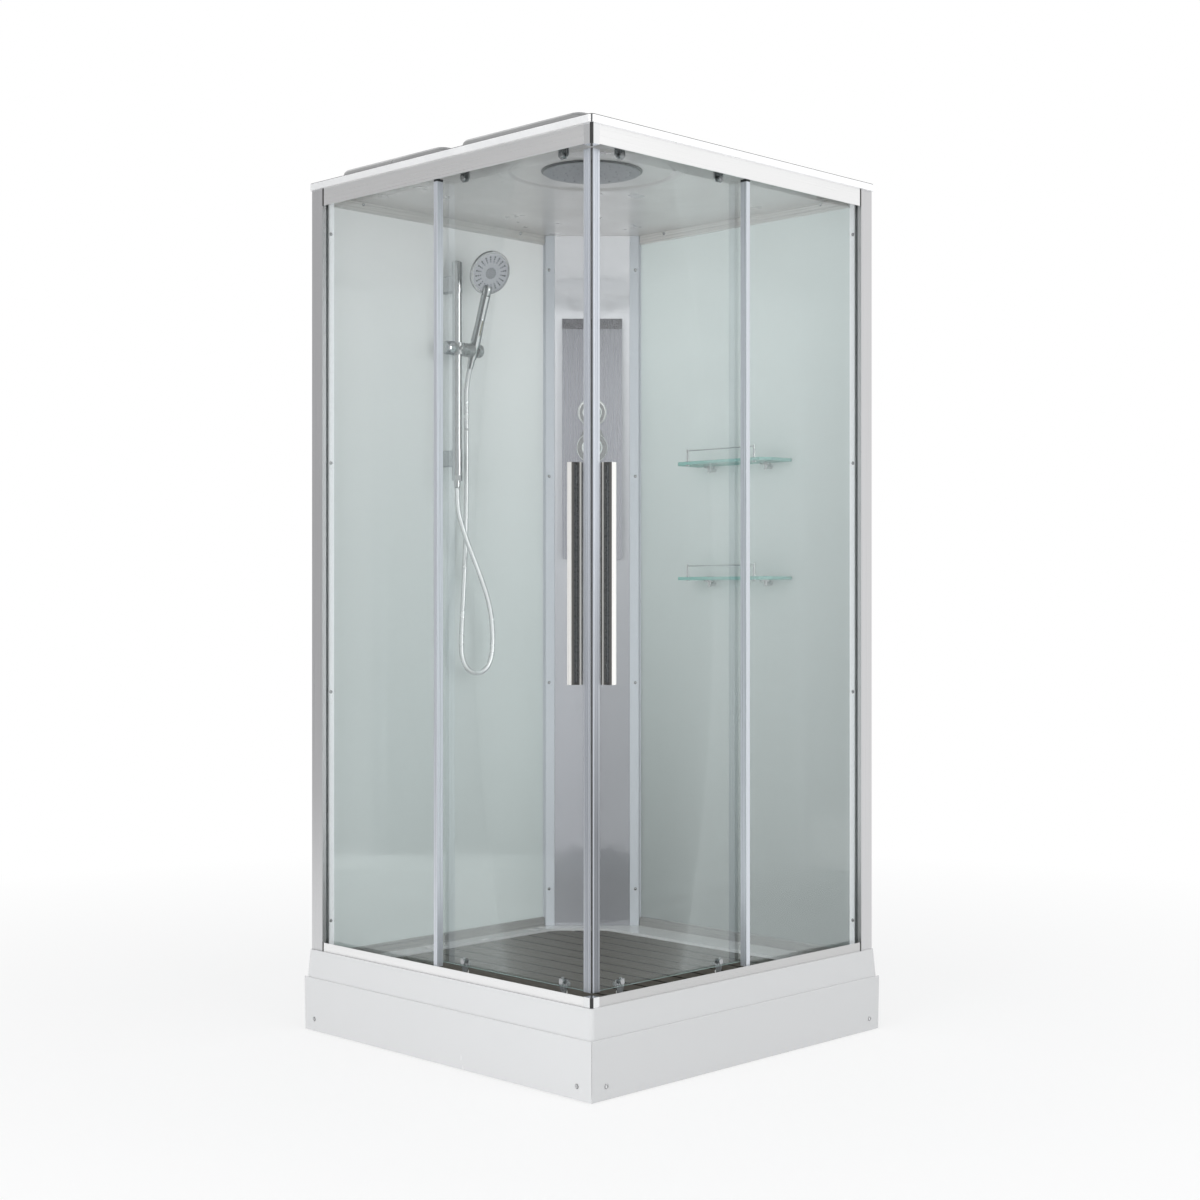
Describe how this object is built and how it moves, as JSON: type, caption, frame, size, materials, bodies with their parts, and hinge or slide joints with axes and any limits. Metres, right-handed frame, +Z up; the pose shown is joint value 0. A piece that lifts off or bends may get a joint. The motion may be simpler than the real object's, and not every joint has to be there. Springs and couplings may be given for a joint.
{
  "type": "corner shower enclosure",
  "caption": "Square corner-entry shower enclosure with sliding glass doors meeting at the corner, tray, roof, wall panels, shelves, mixer column and hand shower.",
  "frame": {"origin": "middle of the footprint, on the floor under the levelling feet", "axes": "+Z up; the two sliding doors meet at the corner towards +X and -Y; the walls are on the -X and +Y sides"},
  "size_m": [1.0007, 1.0007, 2.1],
  "materials": {
    "tray": "glossy acrylic",
    "apron_panels": "glossy acrylic",
    "apron_screw_caps": "glossy",
    "tray_frame": "painted steel tube",
    "levelling_feet": "zinc plated",
    "waste_trap": "moulded",
    "waste_cover": "polished",
    "deck_slats": "dark stained",
    "deck_battens": "dark stained",
    "end_posts": "satin anodised",
    "top_rails": "satin anodised",
    "bottom_rails": "satin anodised",
    "corner_blocks": "chrome plated",
    "fixed_glass": "clear",
    "edge_strips": "satin",
    "back_glass": "back painted",
    "wall_profiles": "satin",
    "wall_bars": "satin",
    "column_panel": "painted",
    "cover_screws": "polished",
    "control_panel": "polished",
    "mixer_valve": "cast",
    "diverter_control": "chrome plated",
    "mixer_control": "chrome plated",
    "roof": "glossy acrylic",
    "overhead_shower": "satin",
    "riser_rail": "polished",
    "riser_brackets": "chrome plated",
    "slider": "chrome plated",
    "clamp_knob": "chrome plated",
    "cradle": "chrome plated",
    "hand_shower": "chrome plated",
    "spray_selector": "grey",
    "hose": "smooth silver",
    "shelf_glass": "clear, polished edge",
    "shelf_fittings": "polished",
    "door_glass_left": "clear",
    "door_profile_left": "satin",
    "door_seal_left": "magnet seal",
    "door_handle_left": "chrome plated",
    "handle_insert_left": "black",
    "roller_brackets_left": "chrome plated",
    "top_wheel_1_left": "nylon",
    "bottom_wheel_1_left": "nylon",
    "release_button_1_left": "plated",
    "top_wheel_2_left": "nylon",
    "bottom_wheel_2_left": "nylon",
    "release_button_2_left": "plated",
    "door_glass_right": "clear",
    "door_profile_right": "satin",
    "door_seal_right": "magnet seal",
    "door_handle_right": "chrome plated",
    "handle_insert_right": "black",
    "roller_brackets_right": "chrome plated",
    "top_wheel_1_right": "nylon",
    "bottom_wheel_1_right": "nylon",
    "release_button_1_right": "plated",
    "top_wheel_2_right": "nylon",
    "bottom_wheel_2_right": "nylon",
    "release_button_2_right": "plated"
  },
  "bodies": {
    "cabin": {"tray": "tray", "apron_panels": "apron_panels", "apron_screw_caps": "apron_screw_caps", "tray_frame": "tray_frame", "levelling_feet": "levelling_feet", "waste_trap": "waste_trap", "waste_cover": "waste_cover", "end_posts": "end_posts", "top_rails": "top_rails", "bottom_rails": "bottom_rails", "corner_blocks": "corner_blocks", "fixed_glass": "fixed_glass", "edge_strips": "edge_strips", "back_glass": "back_glass", "wall_profiles": "wall_profiles", "wall_bars": "wall_bars", "column_panel": "column_panel", "cover_screws": "cover_screws", "control_panel": "control_panel", "mixer_valve": "mixer_valve", "roof": "roof", "overhead_shower": "overhead_shower", "riser_rail": "riser_rail", "riser_brackets": "riser_brackets", "hose": "hose", "shelf_glass": "shelf_glass", "shelf_fittings": "shelf_fittings"},
    "door_left": {"door_glass_left": "door_glass_left", "door_profile_left": "door_profile_left", "door_seal_left": "door_seal_left", "door_handle_left": "door_handle_left", "handle_insert_left": "handle_insert_left", "roller_brackets_left": "roller_brackets_left"},
    "top_wheel_1_left": {"top_wheel_1_left": "top_wheel_1_left"},
    "bottom_wheel_1_left": {"bottom_wheel_1_left": "bottom_wheel_1_left"},
    "release_button_1_left": {"release_button_1_left": "release_button_1_left"},
    "top_wheel_2_left": {"top_wheel_2_left": "top_wheel_2_left"},
    "bottom_wheel_2_left": {"bottom_wheel_2_left": "bottom_wheel_2_left"},
    "release_button_2_left": {"release_button_2_left": "release_button_2_left"},
    "door_right": {"door_glass_right": "door_glass_right", "door_profile_right": "door_profile_right", "door_seal_right": "door_seal_right", "door_handle_right": "door_handle_right", "handle_insert_right": "handle_insert_right", "roller_brackets_right": "roller_brackets_right"},
    "top_wheel_1_right": {"top_wheel_1_right": "top_wheel_1_right"},
    "bottom_wheel_1_right": {"bottom_wheel_1_right": "bottom_wheel_1_right"},
    "release_button_1_right": {"release_button_1_right": "release_button_1_right"},
    "top_wheel_2_right": {"top_wheel_2_right": "top_wheel_2_right"},
    "bottom_wheel_2_right": {"bottom_wheel_2_right": "bottom_wheel_2_right"},
    "release_button_2_right": {"release_button_2_right": "release_button_2_right"},
    "diverter": {"diverter_control": "diverter_control"},
    "mixer": {"mixer_control": "mixer_control"},
    "slider": {"slider": "slider"},
    "clamp_knob": {"clamp_knob": "clamp_knob"},
    "hand_shower": {"cradle": "cradle", "hand_shower": "hand_shower"},
    "spray_selector": {"spray_selector": "spray_selector"},
    "deck": {"deck_slats": "deck_slats", "deck_battens": "deck_battens"}
  },
  "joints": [
    {"name": "door_slide_left", "type": "slide", "parent": "cabin", "child": "door_left", "axis": [-1, 0, 0], "range_m": [0, 0.392]},
    {"name": "top_wheel_1_left_spin", "type": "hinge", "parent": "door_left", "child": "top_wheel_1_left", "pos_m": [0.367, -0.4616, 2.0463], "axis": [0, 1, 0], "range_deg": [-2300, 5]},
    {"name": "bottom_wheel_1_left_spin", "type": "hinge", "parent": "door_left", "child": "bottom_wheel_1_left", "pos_m": [0.367, -0.4496, 0.2108], "axis": [0, 1, 0], "range_deg": [-3300, 5]},
    {"name": "release_button_1_left_press", "type": "slide", "parent": "door_left", "child": "release_button_1_left", "axis": [0, 0, -1], "range_m": [0, 0.0035], "stiffness_N_per_m": 400, "springref_m": -0.002},
    {"name": "top_wheel_2_left_spin", "type": "hinge", "parent": "door_left", "child": "top_wheel_2_left", "pos_m": [0.045, -0.4616, 2.0463], "axis": [0, 1, 0], "range_deg": [-2300, 5]},
    {"name": "bottom_wheel_2_left_spin", "type": "hinge", "parent": "door_left", "child": "bottom_wheel_2_left", "pos_m": [0.045, -0.4496, 0.2108], "axis": [0, 1, 0], "range_deg": [-3300, 5]},
    {"name": "release_button_2_left_press", "type": "slide", "parent": "door_left", "child": "release_button_2_left", "axis": [0, 0, -1], "range_m": [0, 0.0035], "stiffness_N_per_m": 400, "springref_m": -0.002},
    {"name": "door_slide_right", "type": "slide", "parent": "cabin", "child": "door_right", "axis": [0, 1, 0], "range_m": [0, 0.392]},
    {"name": "top_wheel_1_right_spin", "type": "hinge", "parent": "door_right", "child": "top_wheel_1_right", "pos_m": [0.4616, -0.367, 2.0463], "axis": [1, 0, 0], "range_deg": [-2300, 5]},
    {"name": "bottom_wheel_1_right_spin", "type": "hinge", "parent": "door_right", "child": "bottom_wheel_1_right", "pos_m": [0.4496, -0.367, 0.2108], "axis": [1, 0, 0], "range_deg": [-3300, 5]},
    {"name": "release_button_1_right_press", "type": "slide", "parent": "door_right", "child": "release_button_1_right", "axis": [0, 0, -1], "range_m": [0, 0.0035], "stiffness_N_per_m": 400, "springref_m": -0.002},
    {"name": "top_wheel_2_right_spin", "type": "hinge", "parent": "door_right", "child": "top_wheel_2_right", "pos_m": [0.4616, -0.045, 2.0463], "axis": [1, 0, 0], "range_deg": [-2300, 5]},
    {"name": "bottom_wheel_2_right_spin", "type": "hinge", "parent": "door_right", "child": "bottom_wheel_2_right", "pos_m": [0.4496, -0.045, 0.2108], "axis": [1, 0, 0], "range_deg": [-3300, 5]},
    {"name": "release_button_2_right_press", "type": "slide", "parent": "door_right", "child": "release_button_2_right", "axis": [0, 0, -1], "range_m": [0, 0.0035], "stiffness_N_per_m": 400, "springref_m": -0.002},
    {"name": "diverter_turn", "type": "hinge", "parent": "cabin", "child": "diverter", "pos_m": [-0.35781, 0.35781, 1.566], "axis": [0.7071, -0.7071, 0], "range_deg": [-60, 60]},
    {"name": "mixer_turn", "type": "hinge", "parent": "cabin", "child": "mixer", "pos_m": [-0.35781, 0.35781, 1.47], "axis": [0.7071, -0.7071, 0], "range_deg": [-60, 60]},
    {"name": "slider_slide", "type": "slide", "parent": "cabin", "child": "slider", "axis": [0, 0, 1], "range_m": [-0.235, 0.075], "deforming": ["hose"]},
    {"name": "clamp_turn", "type": "hinge", "parent": "slider", "child": "clamp_knob", "pos_m": [-0.412, -0.112, 1.705], "axis": [0, -1, 0], "range_deg": [-180, 45]},
    {"name": "cradle_tilt", "type": "hinge", "parent": "slider", "child": "hand_shower", "pos_m": [-0.412, -0.024, 1.705], "axis": [0, 1, 0], "range_deg": [-8, 40]},
    {"name": "spray_turn", "type": "hinge", "parent": "hand_shower", "child": "spray_selector", "pos_m": [-0.34594, -0.024, 1.89906], "axis": [0.9019, -0.1558, -0.4028], "range_deg": [-15, 20]},
    {"name": "deck_lift", "type": "slide", "parent": "cabin", "child": "deck", "axis": [0, 0, 1], "range_m": [0, 0.1]}
  ],
  "couplings": [
    {"joint": "top_wheel_1_left_spin", "follows": "door_slide_left", "rad_per_m": -100},
    {"joint": "bottom_wheel_1_left_spin", "follows": "door_slide_left", "rad_per_m": -142.86},
    {"joint": "top_wheel_2_left_spin", "follows": "door_slide_left", "rad_per_m": -100},
    {"joint": "bottom_wheel_2_left_spin", "follows": "door_slide_left", "rad_per_m": -142.86},
    {"joint": "top_wheel_1_right_spin", "follows": "door_slide_right", "rad_per_m": -100},
    {"joint": "bottom_wheel_1_right_spin", "follows": "door_slide_right", "rad_per_m": -142.86},
    {"joint": "top_wheel_2_right_spin", "follows": "door_slide_right", "rad_per_m": -100},
    {"joint": "bottom_wheel_2_right_spin", "follows": "door_slide_right", "rad_per_m": -142.86}
  ]
}
